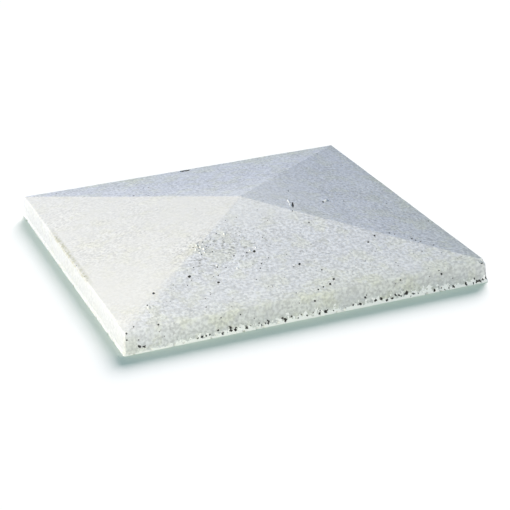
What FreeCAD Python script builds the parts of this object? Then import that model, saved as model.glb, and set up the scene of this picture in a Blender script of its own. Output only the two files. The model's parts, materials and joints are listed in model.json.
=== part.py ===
"""Pier cap in white cast concrete: one block with a four-way weathered top and a drip groove underneath.

The cap was cast upside down in an open mould, so its edge band leans in a little towards the top, and
its bed, which was the open side of the mould, is flat. Two ridged runs cross at right angles, and the
cap is what they have in common. Frame: origin at the centre of the bed, +X along the front edge, +Z up.
Lengths are in millimetres and angles in degrees.
"""

import FreeCAD
import Part
import Sketcher
import math
import os

DRIVING_SIZES = (
    ("side", 500, "side of the square bed, which is the widest outline"),
    ("edge_height", 30, "bed to the arris, where edge band and slope would meet if it were sharp"),
    ("rise", 45, "arris to the blunt apex"),
    ("draft_angle", 4, "lean of the edge band, for release from the mould"),
    ("arris_radius", 4, "rounding of the arris between edge band and slope"),
    ("hip_radius", 3, "rounding of the upright corners and of the hips that run on from them"),
    ("apex_flat", 3, "side of the small flat that blunts the apex"),
    ("groove_inset", 25, "bed edge to the middle of the drip groove"),
    ("groove_radius", 7, "half-round section of the drip groove"),
)

TOTAL_HEIGHT = "sizes.edge_height + sizes.rise"
BAND_LEAN = "sizes.edge_height * tan(sizes.draft_angle)"
RUN_LENGTH = "1.2 * sizes.side"
GROOVE_SIDE = "sizes.side - 2 * sizes.groove_inset"
GROOVE_MIDDLE = "sizes.side / 2 - sizes.groove_inset"

# The rounding of a hip has to roll through inside the rounding of the arris.
HIP_ROUNDING = "min(sizes.hip_radius; 0.9 * sizes.arris_radius)"

# The points of a sketch element and the two axes of a sketch, as the sketcher numbers them.
START, END, CENTRE = range(1, 4)
LEVEL_AXIS, UPRIGHT_AXIS = range(-1, -3, -1)
SKETCH_ORIGIN = (LEVEL_AXIS, START)
DIAGONAL_TOLERANCE = 1e-3


def make_sizes(doc):
    """Spreadsheet with one driving size to a row: its name, its value under that alias, what it is."""
    sheet = doc.addObject("Spreadsheet::Sheet", "sizes")
    for row, (alias, value, meaning) in enumerate(DRIVING_SIZES, start=1):
        sheet.set(f"A{row}", alias)
        sheet.set(f"B{row}", str(value))
        sheet.setAlias(f"B{row}", alias)
        sheet.set(f"C{row}", meaning)
    doc.recompute()
    return sheet


def plane_sketch(body, name, role):
    """Empty sketch on one of the body's own origin planes."""
    sketch = body.newObject("Sketcher::SketchObject", name)
    plane = next(p for p in body.Origin.OriginFeatures if p.Role == role)
    sketch.AttachmentSupport = [(plane, "")]
    sketch.MapMode = "FlatFace"
    return sketch


def draw_line(sketch, start, end):
    """Straight sketch line between two points of the sketch plane."""
    return sketch.addGeometry(Part.LineSegment(FreeCAD.Vector(*start), FreeCAD.Vector(*end)))


def draw_arc(sketch, centre, radius, from_degrees, to_degrees):
    """Circular arc, counter-clockwise from one direction to the other."""
    circle = Part.Circle(FreeCAD.Vector(*centre), FreeCAD.Vector(0, 0, 1), radius)
    return sketch.addGeometry(Part.ArcOfCircle(circle, math.radians(from_degrees), math.radians(to_degrees)))


def relate(sketch, kind, *geometry):
    """Adds a constraint without a value."""
    sketch.addConstraint(Sketcher.Constraint(kind, *geometry))


def bind(sketch, kind, geometry, expression):
    """Adds a dimension to the sketch and binds its value to an expression of the sheet."""
    value = float(sketch.evalExpression(expression))
    index = sketch.addConstraint(Sketcher.Constraint(kind, *geometry, value))
    sketch.setExpression(f"Constraints[{index}]", expression)


def ridged_profile(body, name, role, sizes):
    """Section of a run: level bed, leaning edge bands, rounded arrises, slopes up to a small flat.

    It is drawn near its size first, and the dimensions then pull it to the exact one.
    """
    sketch = plane_sketch(body, name, role)
    half_bed, half_flat = sizes.side / 2, sizes.apex_flat / 2
    top = sizes.edge_height + sizes.rise
    arris_x = half_bed - sizes.edge_height * math.tan(math.radians(sizes.draft_angle))
    round_x, round_z = arris_x - sizes.arris_radius, sizes.edge_height - sizes.arris_radius

    bed = draw_line(sketch, (-half_bed, 0), (half_bed, 0))
    flat = draw_line(sketch, (-half_flat, top), (half_flat, top))
    for edge in (bed, flat):
        relate(sketch, "Symmetric", edge, START, edge, END, UPRIGHT_AXIS)
    relate(sketch, "PointOnObject", bed, START, LEVEL_AXIS)

    bands, arcs, slopes = [], [], []
    # Arcs run counter-clockwise: up from the band on the right, down to the band on the left.
    for hand, side_end, turn, arc_low, arc_high in ((1, END, 0, START, END), (-1, START, 90, END, START)):
        band = draw_line(sketch, (half_bed * hand, 0), (arris_x * hand, round_z))
        arc = draw_arc(sketch, (round_x * hand, round_z), sizes.arris_radius, turn, turn + 90)
        slope = draw_line(sketch, (round_x * hand, sizes.edge_height), (half_flat * hand, top))
        relate(sketch, "Coincident", bed, side_end, band, START)
        relate(sketch, "Tangent", band, END, arc, arc_low)
        relate(sketch, "Tangent", arc, arc_high, slope, START)
        relate(sketch, "Coincident", slope, END, flat, side_end)
        bands.append(band)
        arcs.append(arc)
        slopes.append(slope)
    relate(sketch, "Symmetric", bands[0], END, bands[1], END, UPRIGHT_AXIS)
    relate(sketch, "Equal", *arcs)
    sharp_arris = sketch.addGeometry(Part.Point(FreeCAD.Vector(arris_x, sizes.edge_height)), True)
    relate(sketch, "PointOnObject", sharp_arris, START, bands[0])
    relate(sketch, "PointOnObject", sharp_arris, START, slopes[0])

    bind(sketch, "DistanceX", (bed, START, bed, END), "sizes.side")
    bind(sketch, "DistanceX", (flat, START, flat, END), "sizes.apex_flat")
    bind(sketch, "DistanceY", (*SKETCH_ORIGIN, flat, END), TOTAL_HEIGHT)
    bind(sketch, "DistanceY", (*SKETCH_ORIGIN, sharp_arris, START), "sizes.edge_height")
    bind(sketch, "DistanceX", (sharp_arris, START, bed, END), BAND_LEAN)
    bind(sketch, "Radius", (arcs[0],), "sizes.arris_radius")
    return sketch


def ridged_run(doc, name, role, sizes):
    """Body that carries one section straight on, well past the size of the cap."""
    body = doc.addObject("PartDesign::Body", name)
    run = body.newObject("PartDesign::Pad", f"{name}_run")
    run.Profile = ridged_profile(body, f"{name}_profile", role, sizes)
    run.SideType = "Symmetric"
    run.setExpression("Length", RUN_LENGTH)
    doc.recompute()
    return body


def groove_path(body, sizes):
    """Square line of the drip groove, centred on the origin in the plane of the bed."""
    sketch = plane_sketch(body, "groove_path", "XY_Plane")
    half = sizes.side / 2 - sizes.groove_inset
    corners = [(-half, -half), (half, -half), (half, half), (-half, half)]
    lines = [draw_line(sketch, start, end) for start, end in zip(corners, corners[1:] + corners[:1])]
    for index, line in enumerate(lines):
        relate(sketch, "Coincident", line, END, lines[(index + 1) % 4], START)
        relate(sketch, ("Horizontal", "Vertical")[index % 2], line)
    front, right = lines[:2]
    relate(sketch, "Symmetric", front, START, right, END, *SKETCH_ORIGIN)
    bind(sketch, "DistanceX", (front, START, front, END), GROOVE_SIDE)
    bind(sketch, "DistanceY", (right, START, right, END), GROOVE_SIDE)
    return sketch


def groove_section(body, sizes):
    """Circle whose upper half is the section of the drip groove, on the plane across the front run."""
    sketch = plane_sketch(body, "groove_section", "YZ_Plane")
    centre = FreeCAD.Vector(sizes.groove_inset - sizes.side / 2, 0)
    circle = sketch.addGeometry(Part.Circle(centre, FreeCAD.Vector(0, 0, 1), sizes.groove_radius))
    relate(sketch, "PointOnObject", circle, CENTRE, LEVEL_AXIS)
    bind(sketch, "DistanceX", (circle, CENTRE, *SKETCH_ORIGIN), GROOVE_MIDDLE)
    bind(sketch, "Radius", (circle,), "sizes.groove_radius")
    return sketch


def edges_over_diagonals(shape):
    """Names of the edges that stand over a diagonal of the bed: upright corners and hips."""
    return [
        f"Edge{number}"
        for number, edge in enumerate(shape.Edges, start=1)
        if all(abs(abs(vertex.X) - abs(vertex.Y)) < DIAGONAL_TOLERANCE for vertex in edge.Vertexes)
        and abs(edge.Vertexes[0].Z - edge.Vertexes[-1].Z) > DIAGONAL_TOLERANCE
    ]


def make_pier_cap(doc, sizes):
    """The whole cap as one body: two crossing runs, rounded corners and hips, a drip groove."""
    side_to_side = ridged_run(doc, "side_to_side", "YZ_Plane", sizes)
    body = ridged_run(doc, "pier_cap", "XZ_Plane", sizes)
    body.Label = "pier_cap"

    crossing = body.newObject("PartDesign::Boolean", "crossing")
    crossing.setObjects([side_to_side])
    crossing.Type = "Common"
    doc.recompute()

    hips = body.newObject("PartDesign::Fillet", "hip_rounding")
    hips.Base = (crossing, edges_over_diagonals(crossing.Shape))
    hips.setExpression("Radius", HIP_ROUNDING)
    doc.recompute()

    groove = body.newObject("PartDesign::SubtractivePipe", "drip_groove")
    groove.Profile = groove_section(body, sizes)
    groove.Spine = groove_path(body, sizes)
    groove.Transition = "Right corner"
    doc.recompute()
    return body


def check_document(doc, bodies):
    """Stops the build if a feature failed or a finished shape isn't one valid closed solid."""
    failed = [item.Name for item in doc.Objects if {"Invalid", "Error"} & set(item.State)]
    if failed:
        raise RuntimeError(f"features failed: {failed}")
    for body in bodies:
        shape = body.Shape
        if shape.isNull() or not shape.isValid() or len(shape.Solids) != 1:
            raise RuntimeError(f"{body.Label} isn't one valid solid")


def main():
    doc = FreeCAD.newDocument("pier_cap_model")
    sizes = make_sizes(doc)
    bodies = [make_pier_cap(doc, sizes)]
    check_document(doc, bodies)
    os.makedirs("parts", exist_ok=True)
    for body in bodies:
        body.Shape.exportStep(f"parts/{body.Label}.step")
        box = body.Shape.BoundBox
        print(body.Label, "size", box.XLength, box.YLength, box.ZLength, "volume", body.Shape.Volume)


main()
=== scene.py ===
"""White cast-concrete pier cap: its moulded faces, open pores, worn edges and ragged pour edge.

The cap was cast upside down, so its slopes and edge band are moulded faces and its bed, the open side of
the mould, is a floated pour face. The block is modelled at its size, cut into a fine even mesh and made a
little uneven. A chip, pores, pits, gashes and breaks in the casting lip are then cut out of it, and burrs
and crumbs are raised on it. Lengths are in metres, and colours are linear.
"""

import functools
import json
import logging
import math
import random
from abc import ABC, abstractmethod
from collections.abc import Callable, Iterable
from dataclasses import dataclass, field
from enum import Enum

import bmesh
import bpy
from mathutils import Matrix, Vector

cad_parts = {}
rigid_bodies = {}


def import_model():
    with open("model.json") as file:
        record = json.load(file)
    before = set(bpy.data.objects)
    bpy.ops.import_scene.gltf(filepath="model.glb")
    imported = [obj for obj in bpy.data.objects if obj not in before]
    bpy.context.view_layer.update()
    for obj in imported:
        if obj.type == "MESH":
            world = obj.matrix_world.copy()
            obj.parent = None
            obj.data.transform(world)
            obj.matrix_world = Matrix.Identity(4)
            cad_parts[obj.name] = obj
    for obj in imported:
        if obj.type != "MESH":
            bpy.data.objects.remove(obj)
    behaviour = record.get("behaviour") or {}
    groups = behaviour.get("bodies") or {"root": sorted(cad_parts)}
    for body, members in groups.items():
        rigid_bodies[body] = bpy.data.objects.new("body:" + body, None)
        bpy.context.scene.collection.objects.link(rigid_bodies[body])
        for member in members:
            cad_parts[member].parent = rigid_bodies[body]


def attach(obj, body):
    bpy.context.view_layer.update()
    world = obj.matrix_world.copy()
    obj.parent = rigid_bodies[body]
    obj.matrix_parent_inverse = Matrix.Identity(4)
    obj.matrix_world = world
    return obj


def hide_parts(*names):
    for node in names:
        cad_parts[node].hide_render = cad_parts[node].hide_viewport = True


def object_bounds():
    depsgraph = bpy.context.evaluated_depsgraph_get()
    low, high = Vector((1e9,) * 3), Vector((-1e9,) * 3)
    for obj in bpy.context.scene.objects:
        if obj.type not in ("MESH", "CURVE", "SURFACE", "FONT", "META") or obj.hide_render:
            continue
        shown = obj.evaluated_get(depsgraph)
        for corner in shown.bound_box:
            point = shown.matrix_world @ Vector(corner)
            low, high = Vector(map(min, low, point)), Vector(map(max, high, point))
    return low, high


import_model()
CAD_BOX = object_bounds()
CAD_NODE = "pier_cap"
BODY = "root"
MM = 0.001
WHITE = (1.0, 1.0, 1.0)

Ball = tuple[Vector, float]
Color = tuple[float, float, float]
Limits = tuple[float, float]
Mark = tuple[float, float, float]
MeshPart = bmesh.types.BMFace | bmesh.types.BMEdge | bmesh.types.BMVert
Outputs = bpy.types.NodeOutputs
Piece = bpy.types.Object
Plane = tuple[Vector, Vector]
Size = tuple[float, float, float]
Socket = bpy.types.NodeSocket

log = logging.getLogger("pier_cap")


class Side(Enum):
    """The four sides of the cap, each by the direction that its edge band faces."""

    FRONT = (0, -1)
    RIGHT = (1, 0)
    BACK = (0, 1)
    LEFT = (-1, 0)

    @property
    def outward(self) -> Vector:
        """Level direction out of this side."""
        return Vector((*self.value, 0))

    @property
    def along(self) -> Vector:
        """Level direction along this side, to the right for someone who faces it."""
        return Vector((-self.value[1], self.value[0], 0))

    def place(self, out: float, along: float, height: float) -> Vector:
        """A place at this side, by its distances from the middle of the bed."""
        return self.outward * out + self.along * along + Vector((0, 0, height))


class Zone(Enum):
    """The two kinds of moulded face on each side."""

    SLOPE = "slope"
    BAND = "band"


class LampKind(Enum):
    """The kinds of lamp in the studio."""

    PANEL = "AREA"
    SUN = "SUN"


class Relief(Enum):
    """Whether marks are cut out of the block or stand on it."""

    HOLLOW = "DIFFERENCE"
    RAISED = "UNION"


class Skin(Enum):
    """The finishes of the cast, by their number among the piece's material slots."""

    MOULDED = 0
    FLOATED = 1
    # near-black hollows: painted shade in pores, pits and gashes, partly dirt
    PORE = 2
    BROKEN = 3


class Part(Enum):
    """The parts of a mesh that can be selected."""

    FACE = "faces"
    EDGE = "edges"
    VERT = "verts"

    def places(self, item: MeshPart) -> tuple[Vector, ...]:
        """What a test of one part looks at.

        Args:
            item: the face, edge or point.

        Returns:
            A face's middle and its normal, both ends of an edge, or a point's own place.
        """
        if self is Part.FACE:
            return item.calc_center_median(), item.normal
        points = item.verts if self is Part.EDGE else (item,)
        return tuple(point.co for point in points)


# Pores that the photograph shows: across and down in its 510 by 510 frame, then width in millimetres.
PHOTO_PORES = {
    (Side.LEFT, Zone.SLOPE): (
        (153.5, 292.8, 3.6), (147.1, 304.6, 2.4), (193.0, 247.4, 1.8), (194.0, 251.4, 1.9),
        (56.4, 237.6, 1.0), (65.8, 251.4, 1.2), (70.0, 257.0, 1.0), (76.2, 265.4, 1.2),
        (84.2, 276.4, 1.3), (86.8, 280.2, 1.2),
    ),
    (Side.FRONT, Zone.SLOPE): (
        (189.5, 276.3, 3.8), (218.4, 282.3, 3.6), (254.4, 251.2, 3.8), (299.6, 263.8, 3.6),
        (321.9, 269.6, 2.2), (333.8, 278.8, 3.4), (330.4, 283.8, 3.0), (323.4, 286.5, 2.4),
        (318.3, 289.2, 2.2), (374.6, 235.4, 3.0), (368.3, 241.9, 2.6), (309.0, 222.0, 2.2),
        (187.6, 285.0, 1.8), (234.0, 255.7, 2.0), (246.8, 252.4, 2.0), (193.7, 267.3, 1.8),
        (206.2, 306.9, 1.8), (218.2, 275.2, 1.8), (261.6, 263.5, 2.0), (260.3, 268.0, 1.8),
        (268.5, 257.5, 1.8), (158.4, 324.3, 2.6), (172.2, 326.8, 3.0), (292.4, 210.6, 2.0),
        (133.6, 326.4, 2.0), (205.4, 298.4, 1.6), (191.6, 279.8, 1.6), (198.6, 247.7, 1.9),
        (202.6, 241.8, 2.0), (206.1, 246.2, 1.8), (205.8, 238.6, 1.6), (201.8, 254.2, 1.8),
        (212.4, 251.6, 1.7), (193.7, 267.5, 2.0), (217.5, 266.9, 2.2), (226.0, 267.3, 1.7),
        (224.8, 242.0, 1.4), (199.8, 262.6, 1.4), (210.2, 244.4, 1.4),
    ),
    (Side.RIGHT, Zone.SLOPE): (
        (323.1, 201.8, 3.4), (328.1, 200.4, 1.8), (343.9, 200.9, 2.0), (386.7, 203.0, 2.0),
        (317.3, 153.7, 2.4), (428.4, 220.6, 2.6), (389.5, 232.7, 2.6), (394.6, 233.9, 2.0),
        (411.9, 238.6, 2.8), (415.6, 240.0, 2.0), (420.7, 241.1, 2.6), (433.7, 244.9, 2.2),
    ),
    (Side.BACK, Zone.SLOPE): (
        (133.6, 195.4, 2.6), (148.2, 195.0, 2.4), (143.4, 187.8, 2.2), (148.6, 187.2, 1.8),
        (56.2, 193.4, 2.0),
    ),
    (Side.FRONT, Zone.BAND): (
        (240.5, 314.5, 2.0), (315.0, 301.0, 2.6), (400.7, 280.1, 2.2), (441.5, 274.1, 3.2),
        (439.2, 270.6, 2.0), (126.6, 333.6, 2.6), (126.8, 340.2, 2.0), (138.6, 340.0, 1.8),
    ),
}

# Pits along the foot of the front edge band, just above the casting lip, and one by the right corner.
PHOTO_EDGE_PITS = (
    (139.5, 346.8, 3.2), (144.2, 346.8, 3.7), (198.0, 338.4, 2.5), (202.2, 336.7, 3.7), (206.4, 336.0, 2.3),
    (218.3, 330.4, 2.5), (222.6, 333.8, 3.7), (230.9, 327.6, 4.0), (231.2, 330.4, 4.8), (235.9, 327.9, 3.0),
    (235.6, 330.1, 3.4), (247.3, 327.6, 3.0), (268.3, 321.0, 3.2), (268.0, 323.4, 3.6), (282.4, 318.0, 3.8),
    (285.2, 319.9, 5.0), (298.2, 317.8, 2.5), (307.2, 315.6, 2.8), (319.7, 313.8, 3.9), (325.6, 311.6, 4.4),
    (353.2, 304.8, 2.8), (360.7, 304.2, 4.4), (365.3, 297.7, 3.7), (375.7, 300.6, 4.8), (381.2, 298.8, 3.4),
    (386.8, 300.2, 3.7), (392.5, 298.3, 3.7), (395.6, 295.1, 3.0), (399.6, 295.4, 3.0), (406.6, 293.0, 6.4),
    (410.4, 296.5, 3.2), (413.0, 293.7, 2.5), (434.4, 290.7, 4.4), (444.9, 289.6, 3.7), (448.6, 288.2, 3.2),
    (453.1, 286.5, 4.4), (465.9, 284.3, 4.8), (472.9, 282.9, 4.1), (476.8, 281.6, 5.0), (479.8, 280.9, 4.6),
    (483.2, 279.8, 3.6), (486.2, 277.8, 3.2), (482.1, 262.6, 4.2),
)

# Long hollows on the slopes: both ends in the photograph, then width in millimetres.
PHOTO_GASHES = (
    (Side.RIGHT, (292.4, 201.8), (293.2, 207.8), 2.8),
    (Side.RIGHT, (288.2, 189.0), (288.5, 192.2), 0.9),
    (Side.BACK, (179.6, 171.6), (190.8, 169.5), 10.0),
)

# Raised white burrs beside hollows of the right slope: both ends, then width in millimetres.
PHOTO_BURRS = (
    (Side.RIGHT, (287.2, 199.4), (289.4, 202.6), 1.8),
    (Side.RIGHT, (289.6, 203.0), (290.8, 206.2), 1.8),
    (Side.RIGHT, (325.2, 201.4), (326.8, 199.4), 3.6),
)

# Raised white crumbs on the front slope.
PHOTO_CRUMBS = (
    (196.6, 245.0, 2.8), (200.5, 246.7, 3.0), (196.0, 249.4, 2.6), (203.8, 248.8, 2.9), (204.7, 252.1, 2.6),
    (200.1, 252.5, 2.4), (224.3, 233.8, 2.9), (217.2, 265.4, 2.8), (237.2, 267.9, 2.6), (250.0, 250.8, 3.0),
    (255.8, 247.4, 2.4), (148.7, 307.2, 3.2), (128.5, 313.5, 2.4),
)

# The roughest place of the front slope, beside the front left hip.
PHOTO_ROUGH_PLACE = (224.0, 248.0)

# Small pores that are scattered over the slope and the edge band of each side.
SMALL_PORES = {Side.FRONT: (60, 14), Side.RIGHT: (12, 24), Side.BACK: (16, 20), Side.LEFT: (2, 1)}

# Scattered edge pits: where they begin, from -1 at a side's left end to 1, and the widest, in millimetres.
SMALL_PITS = {Side.FRONT: (-0.6, 2.6), Side.RIGHT: (-1, 4.6), Side.BACK: (-1, 4.6)}

# How many breaks of the casting lip are tried on each side.
LIP_BREAKS = {Side.FRONT: 100, Side.RIGHT: 60, Side.BACK: 50, Side.LEFT: 24}


def select(piece: Piece, part: Part, test: Callable[..., bool]) -> None:
    """Selects the parts of a piece in edit mode that pass a test, and nothing else.

    Args:
        piece: the piece.
        part: which parts.
        test: takes the places of one part.
    """
    bpy.ops.mesh.select_mode(type=part.name)
    bpy.ops.mesh.select_all(action="DESELECT")
    mesh = bmesh.from_edit_mesh(piece.data)
    for item in getattr(mesh, part.value):
        if not item.hide and test(*part.places(item)):
            item.select_set(True)
    if part is Part.VERT:
        mesh.select_flush(True)
    bmesh.update_edit_mesh(piece.data, loop_triangles=False, destructive=False)


def looks_down(middle: Vector, normal: Vector) -> bool:
    """Whether a face looks down."""
    return normal.z < -0.5


def reach(place: Vector) -> float:
    """Distance from the cap's upright axis, measured square to the nearest side."""
    return max(abs(place.x), abs(place.y))


@dataclass(frozen=True)
class Shot:
    """The photograph's viewpoint, fitted to the cap's straight edges in it.

    Angles are in degrees, and azimuth 0 is straight in front. The frame's side and the focal length are in
    pixels, the sensor's width in millimetres. The shifts carry the camera off its line of sight.
    """

    frame_side: float = 510.0
    focal: float = 1612.0
    sensor: float = 36.0
    azimuth: float = -20.71
    elevation: float = 23.76
    distance: float = 2.244
    shift_right: float = 18.0 * MM
    shift_up: float = -12.0 * MM
    roll: float = -2.09

    def axes(self) -> tuple[Vector, Vector, Vector]:
        """The camera's own frame.

        Returns:
            Directions to the right, up and back.
        """
        round_cap, height, roll = (math.radians(a) for a in (self.azimuth, self.elevation, self.roll))
        level = math.cos(height)
        back = Vector((math.sin(round_cap) * level, -math.cos(round_cap) * level, math.sin(height)))
        right = Vector((math.cos(round_cap), math.sin(round_cap), 0))
        up = back.cross(right)
        rolled_right = right * math.cos(roll) + up * math.sin(roll)
        rolled_up = up * math.cos(roll) - right * math.sin(roll)
        return rolled_right, rolled_up, back

    def place(self) -> Vector:
        """Where the camera stands."""
        right, up, back = self.axes()
        return back * self.distance + right * self.shift_right + up * self.shift_up

    def meet(self, pixel: tuple[float, float], plane: Plane) -> Vector:
        """Where the line of sight through a pixel meets a plane.

        Args:
            pixel: across and down in the photograph's frame.
            plane: a point on the plane, and its normal.

        Returns:
            The place on the plane.
        """
        right, up, back = self.axes()
        middle = self.frame_side / 2
        sight = right * (pixel[0] - middle) + up * (middle - pixel[1]) - back * self.focal
        point, normal = plane
        start = self.place()
        return start + sight * ((point - start).dot(normal) / sight.dot(normal))

    def upward_on(self, normal: Vector) -> Vector:
        """Direction along a face, given by its normal, that runs upwards in the picture."""
        return self.axes()[2].cross(normal).cross(normal).normalized()

    def build(self) -> None:
        """Sets up the camera."""
        turn = Matrix(self.axes()).transposed().to_euler()
        bpy.ops.object.camera_add(location=self.place(), rotation=turn)
        camera = bpy.context.object
        camera.name = "photograph_view"
        camera.data.sensor_width = self.sensor
        camera.data.lens = self.sensor * self.focal / self.frame_side
        bpy.context.scene.camera = camera


@dataclass
class CapBlock:
    """The cast block: an edge band, four slopes to a blunt apex, and a bed with a drip groove.

    Its side is the widest one, at the foot of the casting lip, and its draft the lean of the edge band in
    degrees. A round is a set-back from the sharp edge, a cell a mesh spacing, and a wear without a length
    the number of times that an edge is smoothed. The lip is drawn out in steps: below a share of its
    height by a share of its breadth. What is calm stays even: the apex, and most of the lip's height.
    """

    side: float
    height: float
    edge_height: float = 30 * MM
    draft: float = 4.0
    clearance: float = 0.02 * MM
    lip: float = 1.2 * MM
    lip_height: float = 4.5 * MM
    lip_steps: tuple[Limits, ...] = ((0.8, 0.6), (0.5, 0.4))
    lip_calm: float = 0.9
    apex_flat: float = 3 * MM
    edge_round: float = 2.4 * MM
    hip_round: float = 0.9 * MM
    hip_wear_start: float = 60 * MM
    hip_wear_width: float = 34 * MM
    hip_wear: int = 60
    arris_wear_depth: float = 6 * MM
    arris_wear_height: float = 5 * MM
    arris_wear: int = 5
    groove_inset: float = 25 * MM
    groove_radius: float = 7 * MM
    groove_steps: int = 8
    cell: float = 3 * MM
    band_cell: float = 1.5 * MM
    bed_cuts: int = 40
    apex_calm: float = 0.4 * MM
    bed_depth: float = 0.01 * MM
    piece: Piece = field(init=False)

    @property
    def foot(self) -> float:
        """Middle of the cap to the edge band, where the band would meet the bed without its lip."""
        return self.side / 2 - self.lip - self.clearance

    @property
    def arris(self) -> float:
        """Middle of the cap to the sharp arris."""
        return self.foot - self.edge_height * math.tan(math.radians(self.draft))

    @property
    def run(self) -> float:
        """Level length of a slope."""
        return self.arris - self.apex_flat / 2

    @property
    def rise(self) -> float:
        """Arris to apex."""
        return self.height - self.edge_height

    @property
    def inner(self) -> float:
        """Middle of the cap to a line on the bed that lies clear of the lip and the rounded corners."""
        return self.foot - 2 * self.edge_round

    def is_sunk(self, place: Vector) -> bool:
        """Whether a place lies on the bed or in its groove."""
        return place.z < self.groove_radius + MM and reach(place) < self.inner

    def face_plane(self, side: Side, zone: Zone) -> Plane:
        """Plane of a moulded face.

        Args:
            side: the side of the cap.
            zone: the slope or the edge band of that side.

        Returns:
            A point on the face, and its outward normal.
        """
        arris = side.outward * self.arris + Vector((0, 0, self.edge_height))
        if zone is Zone.SLOPE:
            normal = side.outward * self.rise + Vector((0, 0, self.run))
        else:
            normal = side.outward * self.edge_height + Vector((0, 0, self.foot - self.arris))
        return arris, normal.normalized()

    def build(self) -> Piece:
        """Models the block and makes it a little uneven.

        Returns:
            The block, before marks are made on it.
        """
        bpy.ops.object.select_all(action="DESELECT")
        bpy.ops.mesh.primitive_cube_add(size=2 * self.foot, location=(0, 0, 0))
        self.piece = bpy.context.object
        self.piece.name = "cast_cap"
        self.piece.data.name = "cast_cap"
        bpy.ops.object.mode_set(mode="EDIT")
        self._shape_top()
        self._sink_groove()
        self._round_edges()
        self._cut_even_mesh()
        self._draw_out_lip()
        self._wear_edges()
        self._weight_zones()
        bpy.ops.object.mode_set(mode="OBJECT")
        self._unsettle()
        return self.piece

    def _shape_top(self) -> None:
        """Stands the block on its bed, leans the edge band in and raises the four slopes."""
        select(self.piece, Part.FACE, looks_down)
        bpy.ops.transform.translate(value=(0, 0, self.foot))
        select(self.piece, Part.FACE, lambda middle, normal: looks_down(middle, -normal))
        bpy.ops.transform.translate(value=(0, 0, self.edge_height - self.foot))
        lean = self.arris / self.foot
        bpy.ops.transform.resize(value=(lean, lean, 1), center_override=(0, 0, self.edge_height))
        bpy.ops.mesh.inset(thickness=self.run, depth=0)
        bpy.ops.transform.translate(value=(0, 0, self.rise))

    def _sink_groove(self) -> None:
        """Sinks the drip groove into the bed, ring by ring along its half round."""
        select(self.piece, Part.FACE, looks_down)
        bpy.ops.mesh.inset(thickness=self.groove_inset - self.groove_radius - self.lip, depth=0)
        turns = [math.pi * step / self.groove_steps for step in range(self.groove_steps + 1)]
        for turn, following in zip(turns, turns[1:]):
            across = self.groove_radius * (math.cos(turn) - math.cos(following))
            sunk = self.groove_radius * (math.sin(following) - math.sin(turn))
            bpy.ops.mesh.inset(thickness=across, depth=-sunk)
        bpy.ops.mesh.subdivide(number_cuts=self.bed_cuts)

    def _round_edges(self) -> None:
        """Rounds the arrises and upright corners, then the hips."""
        def ends_at(height: float, *ends: Vector) -> int:
            """How many ends of an edge lie at a height."""
            return sum(abs(end.z - height) < self.edge_round for end in ends)

        select(self.piece, Part.EDGE, lambda *ends: (
            ends_at(self.edge_height, *ends) > 0 and ends_at(self.height, *ends) == 0))
        bpy.ops.mesh.bevel(offset=self.edge_round, offset_type="OFFSET", segments=4, profile=0.5)
        select(self.piece, Part.EDGE, lambda *ends: ends_at(self.height, *ends) == 1)
        bpy.ops.mesh.bevel(offset=self.hip_round, offset_type="OFFSET", segments=2, profile=0.5)

    def _select_underside(self) -> None:
        """Selects the bed and its groove."""
        select(self.piece, Part.FACE, lambda middle, normal: (
            looks_down(middle, normal) or self.is_sunk(middle)))

    def _cut_even_mesh(self) -> None:
        """Cuts slopes and edge band into even cells, with the underside hidden so that it stays coarse."""
        self._select_underside()
        bpy.ops.mesh.hide(unselected=False)
        count = int(self.foot / self.cell)
        levels = int((self.edge_height - self.edge_round) / self.band_cell)
        cuts = [(Vector(direction) * step * self.cell, direction)
                for step in range(-count, count + 1) for direction in ((1, 0, 0), (0, 1, 0))]
        cuts += [(Vector((0, 0, step * self.band_cell)), (0, 0, 1)) for step in range(1, levels + 1)]
        for place, direction in cuts:
            bpy.ops.mesh.select_all(action="SELECT")
            bpy.ops.mesh.bisect(plane_co=place, plane_no=direction)
        bpy.ops.mesh.reveal(select=False)

    def _draw_out_lip(self) -> None:
        """Draws the foot of the edge band out into the thin lip that concrete left over the mould's rim."""
        for top, share in self.lip_steps:
            select(self.piece, Part.VERT, lambda co: co.z < top * self.lip_height and reach(co) > self.inner)
            scale = 1 + share * self.lip / self.foot
            bpy.ops.transform.resize(value=(scale, scale, 1), center_override=(0, 0, 0))

    def _wear_edges(self) -> None:
        """Wears the lower front left hip broad and soft, and the front arris a little."""
        def on_lower_hip(co: Vector) -> bool:
            """Whether a point lies in the wear of the hip, which broadens towards the corner."""
            share = (-co.x - self.hip_wear_start) / (self.arris - self.hip_wear_start)
            return share > 0 and co.z > self.edge_height and abs(co.x - co.y) < share * self.hip_wear_width

        def on_front_arris(co: Vector) -> bool:
            """Whether a point lies along the front arris."""
            near = -co.y > self.arris - self.arris_wear_depth
            return near and co.z > self.edge_height - self.arris_wear_height

        for test, repeats in ((on_lower_hip, self.hip_wear), (on_front_arris, self.arris_wear)):
            select(self.piece, Part.VERT, test)
            bpy.ops.mesh.vertices_smooth(factor=0.5, repeat=repeats)

    def _weight_zones(self) -> None:
        """Names the points that become uneven: the moulded faces above the lip, and the floated bed."""
        top = self.height - self.apex_calm
        zones = {
            "moulded": lambda co: self.lip_calm * self.lip_height < co.z < top and not self.is_sunk(co),
            "floated": lambda co: co.z < self.bed_depth and reach(co) < self.inner,
        }
        for name, test in zones.items():
            self.piece.vertex_groups.new(name=name)
            select(self.piece, Part.VERT, test)
            bpy.ops.object.vertex_group_assign()

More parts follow.
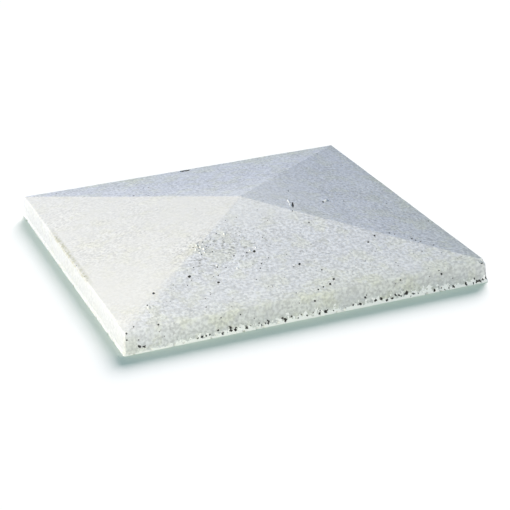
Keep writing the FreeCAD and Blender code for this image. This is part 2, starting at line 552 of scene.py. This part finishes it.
    def _unsettle(self) -> None:
        """Makes the faces as uneven as a worn mould and a wooden float leave them."""
        waves = (
            ("mould_waves", "moulded", 70 * MM, 0.8 * MM, "NORMAL", 0.75),
            ("mould_roughness", "moulded", 6 * MM, 0.4 * MM, "NORMAL", 0.75),
            ("float_waves", "floated", 30 * MM, 0.8 * MM, "Z", 0.0),
        )
        for name, zone, spacing, depth, direction, still in waves:
            texture = bpy.data.textures.new(name, "CLOUDS")
            texture.noise_scale = spacing
            texture.noise_depth = 2
            displace = self.piece.modifiers.new(name, "DISPLACE")
            displace.texture = texture
            displace.vertex_group = zone
            displace.direction = direction
            displace.texture_coords = "LOCAL"
            displace.strength = depth
            displace.mid_level = still
            bpy.ops.object.modifier_apply(modifier=name)

    def dress(self, materials: list[bpy.types.Material]) -> None:
        """Gives the bed and its groove the floated finish, and the rest the moulded one.

        Args:
            materials: the finishes, in the order of Skin.
        """
        for material in materials:
            self.piece.data.materials.append(material)
        bpy.ops.object.mode_set(mode="EDIT")
        self._select_underside()
        self.piece.active_material_index = Skin.FLOATED.value
        bpy.ops.object.material_slot_assign()
        bpy.ops.object.mode_set(mode="OBJECT")


@dataclass
class Marks:
    """A batch of rough round marks that are cut out of the block, or raised on it, together.

    Points stray by the roughness, a share of the width, and middles are sunk by a share of the depth. The
    gap is the least distance between two marks. Middles and half-widths are kept of the batch's own marks
    (taken) and of others that it stays clear of (barred).
    """

    name: str
    skin: Skin
    block: CapBlock
    chance: random.Random
    roughness: float = 0.12
    gap: float = 0.3 * MM
    relief: Relief = Relief.HOLLOW
    barred: list[Ball] = field(default_factory=list)
    turn_limit: float = 0.3
    depths: Limits = (0.9, 1.3)
    sunk: float = 0.25
    taken: list[Ball] = field(init=False, default_factory=list)
    piece: Piece = field(init=False)

    def __post_init__(self) -> None:
        """Begins an empty mesh with the block's finishes."""
        bpy.ops.object.select_all(action="DESELECT")
        bpy.ops.mesh.primitive_ico_sphere_add(subdivisions=1, radius=MM, location=(0, 0, 0))
        self.piece = bpy.context.object
        self.piece.name = self.name
        for material in self.block.piece.data.materials:
            self.piece.data.materials.append(material)
        bpy.ops.object.mode_set(mode="EDIT")
        bpy.ops.mesh.select_all(action="SELECT")
        bpy.ops.mesh.delete(type="VERT")

    def add(self, place: Vector, normal: Vector, size: Size, upward: Vector | None = None) -> None:
        """Adds one mark, if there is room for it.

        Args:
            place: its middle.
            normal: outward normal of the face.
            size: half-widths along the side, up the face and into it.
            upward: direction along the face that counts as up, if it isn't the steepest one.
        """
        widest = max(size) * (1 + self.roughness)
        others = self.barred + self.taken
        if any((place - other).length <= widest + half + self.gap for other, half in others):
            return
        self.taken.append((place, widest))
        if upward is None:
            spin = Matrix.Rotation(self.chance.uniform(-self.turn_limit, self.turn_limit), 3, "Z")
            turn = normal.to_track_quat("Z", "Y").to_matrix() @ spin
        else:
            turn = Matrix((upward.cross(normal), upward, normal)).transposed()
        bpy.ops.mesh.primitive_ico_sphere_add(
            subdivisions=2, radius=1.0, location=place, rotation=turn.to_euler(), scale=size)
        stray = 2 * self.roughness * min(size)
        seed = self.chance.randrange(1, 10000)
        bpy.ops.transform.vertex_random(offset=stray, uniform=1.0, normal=0.0, seed=seed)

    def add_round(self, place: Vector, normal: Vector, width: float, uneven: float = 0.18,
                  drawn: float = 1.0, upward: Vector | None = None) -> None:
        """Adds one round mark, about as deep as it is wide.

        Args:
            place: its middle on the face.
            normal: outward normal of the face.
            width: its width.
            uneven: how far its height may stray from its width, as a share.
            drawn: how far it is drawn out upwards.
            upward: direction along the face that counts as up, if it isn't the steepest one.
        """
        stretch = self.chance.uniform(1 - uneven, 1 + uneven) * drawn
        size = (width / 2, width / 2 * stretch, width / 2 * self.chance.uniform(*self.depths))
        self.add(place - normal * size[2] * self.sunk, normal, size, upward)

    def apply(self) -> None:
        """Cuts the batch out of the block, or raises it there, and takes the batch's own mesh away."""
        bpy.ops.mesh.select_all(action="SELECT")
        self.piece.active_material_index = self.skin.value
        bpy.ops.object.material_slot_assign()
        bpy.ops.object.mode_set(mode="OBJECT")
        cut = self.block.piece.modifiers.new(self.name, "BOOLEAN")
        cut.operation = self.relief.value
        cut.solver = "MANIFOLD"
        cut.object = self.piece
        bpy.context.view_layer.objects.active = self.block.piece
        bpy.ops.object.modifier_apply(modifier=cut.name)
        bpy.data.objects.remove(self.piece)
        log.info("%s: %d marks", self.name, len(self.taken))


@dataclass
class Weathering:
    """Everything that casting and use did to the block.

    Marks of the photograph are carried to the block through its viewpoint, and drawn out to look round
    there, up to the tallest share. Pairs are least and greatest values, in millimetres. Edge pits are cut
    in turns, so that neighbours may run into each other. Scattered marks stay clear of a face's ends.
    """

    block: CapBlock
    shot: Shot
    chip_inset: float = 3 * MM
    chip_size: Size = (6 * MM, 6 * MM, 5.5 * MM)
    tallest: float = 1.6
    pore_widths: Limits = (1.0, 1.9)
    pore_clear: float = 4 * MM
    pit_turns: int = 3
    pits_each_turn: int = 14
    pit_heights: Limits = (3, 8)
    pit_end: float = 5 * MM
    break_heights: Limits = (0, 4.5)
    break_sizes: tuple[Limits, ...] = ((1.2, 4), (1.0, 2.6), (0.8, 1.6))
    break_out: float = 0.7 * MM
    break_end: float = 6 * MM
    pits: list[Ball] = field(init=False, default_factory=list)

    def chip_corner(self) -> None:
        """Chips the right corner, where hip and arrises meet."""
        chips = Marks("chips", Skin.BROKEN, self.block, random.Random(53), roughness=0.2)
        across = Side.RIGHT.outward + Side.FRONT.outward
        out = (across + Vector((0, 0, 1))).normalized()
        place = across * (self.block.arris - self.chip_inset) + Vector((0, 0, self.block.edge_height))
        chips.add(place, out, self.chip_size)
        chips.apply()

    def cut_pores(self) -> None:
        """Cuts the open pores: those of the photograph, then small ones scattered over all moulded faces."""
        pores = Marks("pores", Skin.PORE, self.block, random.Random(11))
        for (side, zone), marks in PHOTO_PORES.items():
            self._copy_marks(pores, marks, side, zone)
        for side, counts in SMALL_PORES.items():
            for zone, count in zip(Zone, counts):
                normal = self.block.face_plane(side, zone)[1]
                for _ in range(count):
                    width = pores.chance.uniform(*self.pore_widths) * MM
                    pores.add_round(self._somewhere(side, zone, pores.chance), normal, width)
        pores.apply()

    def cut_edge_pits(self) -> None:
        """Cuts the pits along the foot of the edge band, most of them on the sides that were poured last."""
        chance = random.Random(23)
        for turn in range(self.pit_turns):
            pits = Marks(f"edge_pits_{turn}", Skin.PORE, self.block, chance, roughness=0.26)
            marks = PHOTO_EDGE_PITS[turn::self.pit_turns]
            self._copy_marks(pits, marks, Side.FRONT, Zone.BAND, uneven=0.35)
            self.pits += pits.taken
            for side, (first, widest) in SMALL_PITS.items():
                normal = self.block.face_plane(side, Zone.BAND)[1]
                for _ in range(self.pits_each_turn):
                    along = chance.uniform(first, 1) * (self.block.foot - self.pit_end)
                    height = chance.uniform(*self.pit_heights) * MM
                    out = self.block.foot - height * math.tan(math.radians(self.block.draft))
                    width = chance.uniform(widest / 2, widest) * MM
                    pits.add_round(side.place(out, along, height), normal, width)
            pits.apply()

    def cut_gashes(self) -> None:
        """Cuts the long hollows, each along the line that it follows on its slope."""
        gashes = Marks("gashes", Skin.PORE, self.block, random.Random(41))
        self._follow_lines(gashes, PHOTO_GASHES)
        gashes.apply()

    def raise_burrs(self) -> None:
        """Raises the burrs, each along the line that it follows on its slope, and the crumbs."""
        burrs = Marks("burrs", Skin.BROKEN, self.block, random.Random(43), relief=Relief.RAISED, gap=-2 * MM)
        self._follow_lines(burrs, PHOTO_BURRS)
        self._copy_marks(burrs, PHOTO_CRUMBS, Side.FRONT, Zone.SLOPE)
        burrs.apply()

    def break_lip(self) -> None:
        """Breaks stretches of the casting lip away, clear of the photograph's pits."""
        chance = random.Random(31)
        breaks = Marks(
            "lip_breaks", Skin.BROKEN, self.block, chance, roughness=0.3, gap=0.2 * MM, barred=self.pits)
        for side, count in LIP_BREAKS.items():
            for _ in range(count):
                along = chance.uniform(-1, 1) * (self.block.foot - self.break_end)
                height = chance.uniform(*self.break_heights) * MM
                size = tuple(chance.uniform(*limits) * MM for limits in self.break_sizes)
                breaks.add(side.place(self.block.foot + self.break_out, along, height), side.outward, size)
        breaks.apply()

    def clear_fragments(self) -> None:
        """Takes away the bits of the casting lip that its breaks left hanging free."""
        bpy.ops.object.mode_set(mode="EDIT")
        select(self.block.piece, Part.VERT, lambda co: co.z > self.block.height - self.block.apex_calm)
        bpy.ops.mesh.select_linked()
        bpy.ops.mesh.select_all(action="INVERT")
        bpy.ops.mesh.delete(type="VERT")
        bpy.ops.object.mode_set(mode="OBJECT")

    def _copy_marks(self, batch: Marks, marks: Iterable[Mark], side: Side, zone: Zone,
                    uneven: float = 0.18) -> None:
        """Adds round marks of the photograph, which look about as tall there as they are wide.

        Args:
            batch: the batch.
            marks: across and down in the photograph, then width in millimetres.
            side: the side of the cap.
            zone: the slope or the edge band of that side.
            uneven: how far their height may stray from their width, as a share.
        """
        plane = self.block.face_plane(side, zone)
        normal = plane[1]
        drawn = min(1 / abs(normal.dot(self.shot.axes()[2])), self.tallest)
        for across, down, width in marks:
            place = self.shot.meet((across, down), plane)
            batch.add_round(place, normal, width * MM, uneven, drawn, self.shot.upward_on(normal))

    def _somewhere(self, side: Side, zone: Zone, chance: random.Random) -> Vector:
        """A place on a moulded face.

        Args:
            side: the side of the cap.
            zone: the slope or the edge band of that side.
            chance: source of the place.

        Returns:
            A place on that face, clear of its edges.
        """
        block = self.block
        if zone is Zone.BAND:
            height = chance.uniform(block.lip_height + self.pore_clear, block.edge_height - self.pore_clear)
            out = block.foot + (block.arris - block.foot) * height / block.edge_height
        else:
            share = chance.random() ** 0.5
            out = block.apex_flat + (block.arris - self.pore_clear - block.apex_flat) * share
            height = block.edge_height + block.rise * (block.arris - out) / block.run
        return side.place(out, chance.uniform(-1, 1) * max(out - self.pore_clear, 0), height)

    def _follow_lines(self, batch: Marks, lines: tuple) -> None:
        """Adds long marks along lines on the slopes.

        Args:
            batch: the batch.
            lines: the side of each, its two ends in the photograph, and its width in millimetres.
        """
        for side, low, high, width in lines:
            plane = self.block.face_plane(side, Zone.SLOPE)
            start, end = (self.shot.meet(pixel, plane) for pixel in (low, high))
            size = (width / 2 * MM, (end - start).length / 2, width / 2 * MM)
            batch.add((start + end) / 2, plane[1], size, (end - start).normalized())


@dataclass
class Wiring:
    """Adds nodes to a node tree and joins them."""

    tree: bpy.types.NodeTree

    def feed(self, node: bpy.types.Node, inputs: dict) -> None:
        """Joins sockets to inputs of a node, and sets values there.

        Args:
            node: the node.
            inputs: sockets, numbers, vectors or colours, by the name or number of the node's input.
        """
        for key, value in inputs.items():
            socket = node.inputs[key]
            if isinstance(value, Socket):
                self.tree.links.new(value, socket)
            else:
                socket.default_value = (*value, 1) if socket.type == "RGBA" else value

    def add(self, kind: str, inputs: dict | None = None, **settings: object) -> Outputs:
        """Adds one node.

        Args:
            kind: type of the node.
            inputs: what it is fed.
            settings: properties of the node.

        Returns:
            Its outputs.
        """
        node = self.tree.nodes.new(kind)
        for name, value in settings.items():
            setattr(node, name, value)
        self.feed(node, inputs or {})
        return node.outputs

    def math(self, operation: str, *values: object, clamp: bool = False) -> Socket:
        """Joins numbers or sockets by one operation of arithmetic."""
        return self.add("ShaderNodeMath", dict(enumerate(values)), operation=operation, use_clamp=clamp)[0]

    def product(self, *values: object) -> Socket:
        """Multiplies numbers and sockets."""
        return functools.reduce(functools.partial(self.math, "MULTIPLY"), values)

    def between(self, share: Socket, limits: Limits) -> Socket:
        """The value that lies between two limits at a share from 0 to 1."""
        return self.math("MULTIPLY_ADD", share, limits[1] - limits[0], limits[0])

    def ramp(self, value: Socket, limits: Limits) -> Socket:
        """The share from 0 to 1, with soft ends, that a value has covered between two limits."""
        inputs = {"Value": value, "From Min": limits[0], "From Max": limits[1]}
        return self.add("ShaderNodeMapRange", inputs, interpolation_type="SMOOTHSTEP")["Result"]

    def blend(self, share: Socket, first: object, second: object) -> Socket:
        """Blends two colours by the share of the second, through the node's three sockets for colours."""
        return self.add("ShaderNodeMix", {0: share, 6: first, 7: second}, data_type="RGBA")[2]

    def tint(self, color: Socket, other: Socket) -> Socket:
        """Multiplies two colours."""
        return self.add("ShaderNodeVectorMath", {0: color, 1: other}, operation="MULTIPLY")["Vector"]

    def scaled(self, place: Socket, size: Socket) -> Socket:
        """A place in units of a feature's size."""
        inputs = {0: place, "Scale": self.math("DIVIDE", 1.0, size)}
        return self.add("ShaderNodeVectorMath", inputs, operation="SCALE")["Vector"]

    def noise(self, place: Socket, scale: float, detail: float, roughness: float = 0.5) -> Socket:
        """Cloudy noise at a place."""
        inputs = {"Vector": place, "Scale": scale, "Detail": detail, "Roughness": roughness}
        return self.add("ShaderNodeTexNoise", inputs)["Fac"]


class Effects:
    """Surface effects that several finishes share, each built once as a node group.

    The limits between sides grow softer towards the front left corner.
    """

    corner: Limits = (70 * MM, 240 * MM)
    softness: Limits = (4 * MM, 22 * MM)

    def __init__(self) -> None:
        """Builds the groups."""
        self.grain = self._grain()
        self.mottle = self._mottle()
        self.sides = self._sides()

    def _group(self, name: str, inputs: Iterable[str], outputs: Iterable[str]) -> tuple[Wiring, Outputs]:
        """Starts a group.

        Args:
            name: its name.
            inputs: names of its inputs: Place is a vector, and Size a number.
            outputs: names of its outputs, all of them numbers.

        Returns:
            The wiring inside it, and its inputs as they arrive there.
        """
        tree = bpy.data.node_groups.new(name, "ShaderNodeTree")
        for direction, labels in (("INPUT", inputs), ("OUTPUT", outputs)):
            for label in labels:
                kind = "NodeSocketVector" if label == "Place" else "NodeSocketFloat"
                tree.interface.new_socket(name=label, in_out=direction, socket_type=kind)
        wiring = Wiring(tree)
        return wiring, wiring.add("NodeGroupInput")

    def _grain(self) -> bpy.types.NodeTree:
        """Sandy relief of two sizes, the sand's light and dark tone, and dark specks in it.

        Returns:
            Group from a place and a grain size to the relief's height, the tone and a mask of specks.
        """
        wiring, given = self._group("sand_grain", ("Place", "Size"), ("Height", "Tone", "Specks"))
        place = wiring.scaled(given["Place"], given["Size"])
        coarse = wiring.noise(place, scale=0.42, detail=1.0)
        fine = wiring.noise(place, scale=1.0, detail=1.0)
        sand = wiring.noise(place, scale=0.5, detail=1.0)
        spots = wiring.ramp(wiring.noise(place, scale=0.46, detail=2.0), (0.56, 0.66))
        clusters = wiring.ramp(wiring.noise(place, scale=0.07, detail=2.0), (0.34, 0.54))
        wiring.add("NodeGroupOutput", {
            "Height": wiring.math("MULTIPLY_ADD", coarse, 1.4, fine),
            "Tone": wiring.ramp(sand, (0.3, 0.7)),
            "Specks": wiring.product(spots, clusters),
        })
        return wiring.tree

    def _mottle(self) -> bpy.types.NodeTree:
        """Cloudy patches.

        Returns:
            Group from a place and a patch size to the share of the patches.
        """
        wiring, given = self._group("cloudy_mottle", ("Place", "Size"), ("Share",))
        place = wiring.scaled(given["Place"], given["Size"])
        noise = wiring.noise(place, scale=1.0, detail=4.0, roughness=0.6)
        wiring.add("NodeGroupOutput", {"Share": wiring.ramp(noise, (0.3, 0.7))})
        return wiring.tree

    def _sides(self) -> bpy.types.NodeTree:
        """Which side of the cap a place belongs to, with soft limits along the hips.

        Returns:
            Group from a place to one mask for each side.
        """
        wiring, given = self._group("cap_sides", ("Place",), [side.name.title() for side in Side])
        parts = wiring.add("ShaderNodeSeparateXYZ", {0: given["Place"]})
        toward_corner = wiring.product(wiring.math("ADD", parts[0], parts[1]), -0.5)
        soft = wiring.between(wiring.ramp(toward_corner, self.corner), self.softness)
        masks = {}
        for side in Side:
            across = 0 if side.value[0] else 1
            out = wiring.product(parts[across], float(sum(side.value)))
            beside = wiring.math("ABSOLUTE", parts[1 - across])
            inside = wiring.math("DIVIDE", wiring.math("SUBTRACT", out, beside), soft)
            masks[side.name.title()] = wiring.ramp(inside, (-1.0, 1.0))
        wiring.add("NodeGroupOutput", masks)
        return wiring.tree


@dataclass
class Surface(Wiring):
    """Wiring of one concrete material."""

    effects: Effects
    place: Socket = field(init=False)

    def __post_init__(self) -> None:
        """Reads the place on the cap."""
        self.place = self.add("ShaderNodeTexCoord")["Object"]

    def effect(self, group: bpy.types.NodeTree, **inputs: object) -> Outputs:
        """Lays one of the shared effects over the surface."""
        return self.add("ShaderNodeGroup", {"Place": self.place, **inputs}, node_tree=group)

    def mottle(self, size: float, **inputs: object) -> Socket:
        """Lays cloudy patches of one size over the surface."""
        return self.effect(self.effects.mottle, Size=size, **inputs)["Share"]


@dataclass(frozen=True)
class ConcreteFinish(ABC):
    """A matt concrete surface with sand in it."""

    name: str
    color: Color
    grain_size: float = 1.4 * MM
    grain_depth: float = 0.8 * MM
    roughness: float = 0.92
    specular: float = 0.2

    def material(self, effects: Effects) -> bpy.types.Material:
        """Makes the material.

        Args:
            effects: the shared effects.

        Returns:
            The material.
        """
        material = bpy.data.materials.new(self.name)
        material.use_nodes = True
        shader = material.node_tree.nodes["Principled BSDF"]
        surface = Surface(material.node_tree, effects)
        plain = {"Base Color": self.color, "Roughness": self.roughness, "Specular IOR Level": self.specular}
        surface.feed(shader, plain)
        color, relief = self.dress(surface, surface.effect(effects.grain, Size=self.grain_size))
        bump = surface.add("ShaderNodeBump", {"Height": relief, "Distance": self.grain_depth})
        surface.feed(shader, {"Base Color": color, "Normal": bump["Normal"]})
        return material

    @abstractmethod
    def dress(self, surface: Surface, grain: Outputs) -> tuple[Socket, Socket]:
        """Works out what changes over the surface.

        Args:
            surface: the surface.
            grain: the sand in it.

        Returns:
            Its colour, and the height of its relief.
        """


@dataclass(frozen=True)
class MouldedFinish(ConcreteFinish):
    """The cast face: pale, cloudy, sandy where it has weathered, whiter along the casting lip.

    A color takes the place of the one under it, and a tint or sand multiplies it. Limits run from where an
    effect is 0 to where it is full. Wear, shares and breadth run from no effect to full effect, and calm is
    how much less wear the other sides have than the front. Rain washes the apex, and splashes have stained
    the edge band, least at the pale left end of the front. The left side is painted lighter and warmer:
    painted light from the key lamp on that side. The whiter casting lip is partly whiter cement and partly a
    painted highlight, with less of it on the left side. The rim is dirt on the left arris, limited by x, by
    height and by y from both ends.
    """

    grain_size: float = 2.0 * MM
    grain_depth: float = 0.32 * MM
    cloud_size: float = 45 * MM
    cloud_tint: Color = (0.95, 0.95, 0.95)
    patch_size: float = 80 * MM
    wear: Limits = (0.62, 1.22)
    rough_wear: float = 0.4
    rough_place: Color = (0.0, 0.0, 0.0)
    rough_limits: Limits = (95 * MM, 30 * MM)
    calm: tuple[tuple[str, float], ...] = (("Left", 0.48), ("Right", -0.1), ("Back", -0.4))
    apex_limits: Limits = (50 * MM, 72 * MM)
    apex_wear: Limits = (1.0, 0.6)
    apex_color: Color = (0.796, 0.792, 0.787)
    band_limits: Limits = (34 * MM, 28 * MM)
    band_color: Color = (0.649, 0.661, 0.648)
    pale_limits: Limits = (-235 * MM, -90 * MM)
    pale_band_color: Color = (0.71, 0.715, 0.72)
    # painted light: lighter, warmer colours for the left slope and band stand in for the key lamp's light
    # there
    left_painted_light_limits: Limits = (30.5 * MM, 28 * MM)
    left_painted_light_color: Color = (0.769, 0.751, 0.713)
    left_band_painted_light_color: Color = (0.716, 0.727, 0.695)
    stain_limits: Limits = (46 * MM, 24 * MM)
    stain_share: Limits = (0.05, 0.6)
    stain_color: Color = (0.70, 0.71, 0.63)
    spot_size: float = 24 * MM
    spot_limits: Limits = (0.45, 0.95)
    spot_tint: Color = (1.0, 1.0, 0.93)
    dark_sand: Color = (0.86, 0.86, 0.86)
    light_sand: Color = (1.16, 1.16, 1.16)
    speck_share: Limits = (0.4, 0.8)
    speck_color: Color = (0.40, 0.40, 0.39)
    rim_limits: tuple[Limits, ...] = (
        (-238 * MM, -243 * MM), (26 * MM, 29 * MM), (120 * MM, 70 * MM), (-110 * MM, -60 * MM))
    rim_color: Color = (0.52, 0.51, 0.40)
    # whiter casting lip: partly whiter cement, partly a painted highlight along its top, with less on the
    # left side
    lip_size: float = 5 * MM
    lip_breadth: Limits = (2 * MM, 11 * MM)
    lip_least: float = 0.14
    lip_limits: Limits = (1.8 * MM, 0.6 * MM)
    lip_white_and_highlight_share: Limits = (1.0, 0.3)
    lip_white_and_highlight: Color = (0.97, 0.97, 0.93)

    def dress(self, surface: Surface, grain: Outputs) -> tuple[Socket, Socket]:
        """Lays clouds, stains and specks over the colour, and sand relief over the form.

        Args:
            surface: the surface.
            grain: the sand in it.

        Returns:
            Its colour, and the height of its relief.
        """
        x, y, height = surface.add("ShaderNodeSeparateXYZ", {0: surface.place})
        sides = surface.effect(surface.effects.sides)
        left = sides["Left"]
        apex = surface.ramp(height, self.apex_limits)
        east = surface.ramp(x, self.pale_limits)
        patches = surface.mottle(self.patch_size)
        away = surface.add(
            "ShaderNodeVectorMath", {0: surface.place, 1: self.rough_place}, operation="DISTANCE")["Value"]
        rough = surface.ramp(away, self.rough_limits)
        worn = surface.math("MULTIPLY_ADD", rough, self.rough_wear, surface.between(patches, self.wear))
        for side, less in self.calm:
            worn = surface.math("SUBTRACT", worn, surface.product(sides[side], less))
        worn = surface.product(worn, surface.between(apex, self.apex_wear))
        # mask of the whiter casting lip, which is partly a painted highlight
        ragged = surface.mottle(self.lip_size)
        teeth = surface.math("MULTIPLY_ADD", ragged, ragged, self.lip_least)
        teeth = surface.product(teeth, surface.between(east, self.lip_breadth))
        lip = surface.ramp(surface.math("SUBTRACT", height, teeth), self.lip_limits)

        color = surface.blend(apex, self.color, self.apex_color)
        band = surface.blend(east, self.pale_band_color, self.band_color)
        color = surface.blend(surface.ramp(height, self.band_limits), color, band)
        # painted light: the left side gets a lighter, warmer colour where the key lamp falls
        on_band = surface.ramp(height, self.left_painted_light_limits)
        left_painted_light = surface.blend(on_band, self.left_painted_light_color, self.left_band_painted_light_color)
        color = surface.blend(left, color, left_painted_light)
        clouds = surface.product(surface.mottle(self.cloud_size), worn)
        color = surface.tint(color, surface.blend(clouds, WHITE, self.cloud_tint))
        low = surface.ramp(height, self.stain_limits)
        stain = surface.product(low, patches, worn, surface.between(east, self.stain_share))
        color = surface.blend(stain, color, self.stain_color)
        spots = surface.product(surface.ramp(surface.mottle(self.spot_size), self.spot_limits), worn)
        color = surface.tint(color, surface.blend(spots, WHITE, self.spot_tint))
        sand = surface.blend(grain["Tone"], self.dark_sand, self.light_sand)
        color = surface.tint(color, surface.blend(worn, WHITE, sand))
        specks = surface.product(grain["Specks"], worn, surface.between(rough, self.speck_share))
        color = surface.blend(specks, color, self.speck_color)
        rim = [surface.ramp(part, limits) for part, limits in zip((x, height, y, y), self.rim_limits)]
        color = surface.blend(surface.product(*rim, grain["Tone"]), color, self.rim_color)
        # whiter casting lip: partly whiter cement, partly a painted highlight; reduced on the left side
        lip = surface.product(lip, surface.between(left, self.lip_white_and_highlight_share))
        color = surface.blend(lip, color, self.lip_white_and_highlight)
        return color, surface.product(grain["Height"], worn)


@dataclass(frozen=True)
class FloatedFinish(ConcreteFinish):
    """The pour face, struck off and rubbed with a wooden float.

    Its streaks turn by an angle in degrees, and are drawn thin to a share of their length.
    """

    grain_size: float = 2.4 * MM
    streak_color: Color = (0.58, 0.58, 0.55)
    streak_size: float = 9 * MM
    streak_turn: float = 28.0
    streak_draw: float = 0.12

    def dress(self, surface: Surface, grain: Outputs) -> tuple[Socket, Socket]:
        """Lays float streaks over the colour and coarse sand over the form.

        Args:
            surface: the surface.
            grain: the sand in it.

        Returns:
            Its colour, and the height of its relief.
        """
        turn = (0, 0, math.radians(self.streak_turn))
        inputs = {"Vector": surface.place, "Rotation": turn, "Scale": (self.streak_draw, 1, 1)}
        drawn = surface.add("ShaderNodeMapping", inputs)["Vector"]
        streaks = surface.mottle(self.streak_size, Place=drawn)
        color = surface.blend(streaks, self.color, self.streak_color)
        return color, surface.math("ADD", grain["Height"], streaks)


@dataclass(frozen=True)
class BrokenFinish(ConcreteFinish):
    """A broken or hollow surface, where sand lies bare. Given near-black colours, it paints shade, with some
    dirt, into hollows.
    """

    shade_color: Color = (0.5, 0.5, 0.48)
    patch_size: float = 3 * MM

    def dress(self, surface: Surface, grain: Outputs) -> tuple[Socket, Socket]:
        """Lays darker sand over the colour."""
        return surface.blend(surface.mottle(self.patch_size), self.color, self.shade_color), grain["Height"]


@dataclass(frozen=True)
class Lamp:
    """A soft lamp that shines at the middle of the cap and lights one piece alone.

    Its height over the floor is in degrees. A panel's size is its side and its power is in watts. A sun's
    size is in degrees and its power in watts on each square metre.
    """

    name: str
    kind: LampKind
    toward: tuple[float, float]
    height: float
    size: float
    power: float
    color: Color
    distance: float

    def build(self, piece: Piece) -> None:
        """Hangs the lamp.

        Args:
            piece: the piece that it lights; everything in its way still throws a shadow there.
        """
        level = Vector((*self.toward, 0)).normalized() * math.cos(math.radians(self.height))
        direction = level + Vector((0, 0, math.sin(math.radians(self.height))))
        turn = direction.to_track_quat("Z", "Y").to_euler()
        bpy.ops.object.light_add(type=self.kind.value, location=direction * self.distance, rotation=turn)
        lamp = bpy.context.object
        lamp.name = self.name
        lamp.data.energy = self.power
        lamp.data.color = self.color
        if self.kind is LampKind.SUN:
            lamp.data.angle = math.radians(self.size)
        else:
            lamp.data.size = self.size
        lit = bpy.data.collections.new(f"lit_by_{self.name}")
        lit.objects.link(piece)
        lamp.light_linking.receiver_collection = lit


@dataclass
class Studio:
    """Plain pale floor, soft lamps and even light all round.

    The floor's lift is light that it adds for the eye alone, so that it shows white outside the shadow. Its
    lamp stands behind the cap, so that the shadow falls to the front.
    """

    floor_side: float = 14.0
    floor_color: Color = (0.85, 0.85, 0.85)
    floor_lift: Color = (0.118, 0.157, 0.055)
    ambient: Color = (0.161, 0.245, 0.372)
    cap_lamps: tuple[Lamp, ...] = (
        Lamp("key", LampKind.PANEL, (-0.966, 0.259), 40.0, 1.3, 83.5, (1.0, 0.91, 0.8), 3.2),
        Lamp("fill", LampKind.PANEL, (-0.5, -0.866), 20.0, 0.8, 21.5, (1.0, 0.975, 0.755), 2.0),
        Lamp("sky", LampKind.PANEL, (-0.4, 0.917), 15.0, 1.0, 17.5, (0.1, 0.42, 1.0), 3.0),
    )
    floor_lamp: Lamp = Lamp("back", LampKind.SUN, (0.53, 0.848), 31.5, 30.0, 5.4, (1.0, 0.885, 0.9), 3.0)

    def build(self, cap: Piece) -> None:
        """Lays the floor, hangs the lamps and sets the even light.

        Args:
            cap: the finished cap.
        """
        floor = self._floor()
        for lamp in self.cap_lamps:
            lamp.build(cap)
        self.floor_lamp.build(floor)
        self._even_light()
        bpy.context.scene.view_settings.view_transform = "Standard"

    def _floor(self) -> Piece:
        """Lays the floor.

        Returns:
            The floor.
        """
        bpy.ops.mesh.primitive_plane_add(size=self.floor_side, location=(0, 0, 0))
        floor = bpy.context.object
        floor.name = "studio_floor"
        material = bpy.data.materials.new("studio_floor")
        material.use_nodes = True
        wiring = Wiring(material.node_tree)
        wiring.feed(material.node_tree.nodes["Principled BSDF"], {
            "Base Color": self.floor_color, "Roughness": 1.0, "Specular IOR Level": 0.0,
            "Emission Color": self.floor_lift, "Emission Strength": self._seen(wiring),
        })
        floor.data.materials.append(material)
        return floor

    def _seen(self, wiring: Wiring) -> Socket:
        """Mask of rays from the eye, direct, mirrored or through glass.

        Args:
            wiring: wiring of the tree that uses it.

        Returns:
            1 for such rays, and 0 for all others.
        """
        path = wiring.add("ShaderNodeLightPath")
        straight = wiring.math("ADD", path["Is Camera Ray"], path["Is Glossy Ray"], clamp=True)
        return wiring.math("ADD", straight, path["Is Transmission Ray"], clamp=True)

    def _even_light(self) -> None:
        """Sets the even light all round, with white behind everything that the eye sees."""
        world = bpy.data.worlds.new("studio")
        bpy.context.scene.world = world
        world.use_nodes = True
        wiring = Wiring(world.node_tree)
        light = world.node_tree.nodes["Background"]
        wiring.feed(light, {"Color": self.ambient})
        white = wiring.add("ShaderNodeBackground", {"Color": WHITE})
        mix = wiring.add("ShaderNodeMixShader", {0: self._seen(wiring), 1: light.outputs[0], 2: white[0]})
        wiring.feed(world.node_tree.nodes["World Output"], {"Surface": mix[0]})


def main() -> None:
    """Builds the cap and its studio, and reports each piece."""
    logging.basicConfig(level=logging.INFO, format="%(name)s: %(message)s")
    low, high = CAD_BOX
    shot = Shot()
    block = CapBlock(side=high.x - low.x, height=high.z - low.z)
    rough_place = shot.meet(PHOTO_ROUGH_PLACE, block.face_plane(Side.FRONT, Zone.SLOPE))
    finishes = {
        Skin.MOULDED: MouldedFinish(
            "moulded_concrete", (0.732, 0.735, 0.755), rough_place=tuple(rough_place)),
        Skin.FLOATED: FloatedFinish("floated_concrete", (0.66, 0.66, 0.63)),
        # pores, pits and gashes painted near black: painted shade in the hollows, partly dirt
        Skin.PORE: BrokenFinish("pore_concrete", (0.10, 0.10, 0.10), shade_color=(0.05, 0.05, 0.05)),
        Skin.BROKEN: BrokenFinish("broken_concrete", (0.92, 0.92, 0.89), shade_color=(0.78, 0.78, 0.75)),
    }
    effects = Effects()
    cap = block.build()
    block.dress([finishes[skin].material(effects) for skin in Skin])
    weathering = Weathering(block, shot)
    weathering.chip_corner()
    weathering.cut_pores()
    weathering.cut_edge_pits()
    weathering.cut_gashes()
    weathering.raise_burrs()
    weathering.break_lip()
    weathering.clear_fragments()
    bpy.ops.object.shade_smooth_by_angle(angle=math.radians(38))
    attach(cap, BODY)
    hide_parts(CAD_NODE)
    log.info("%s: %d faces", cap.name, len(cap.data.polygons))
    Studio().build(cap)
    shot.build()


if __name__ == "__main__":
    main()
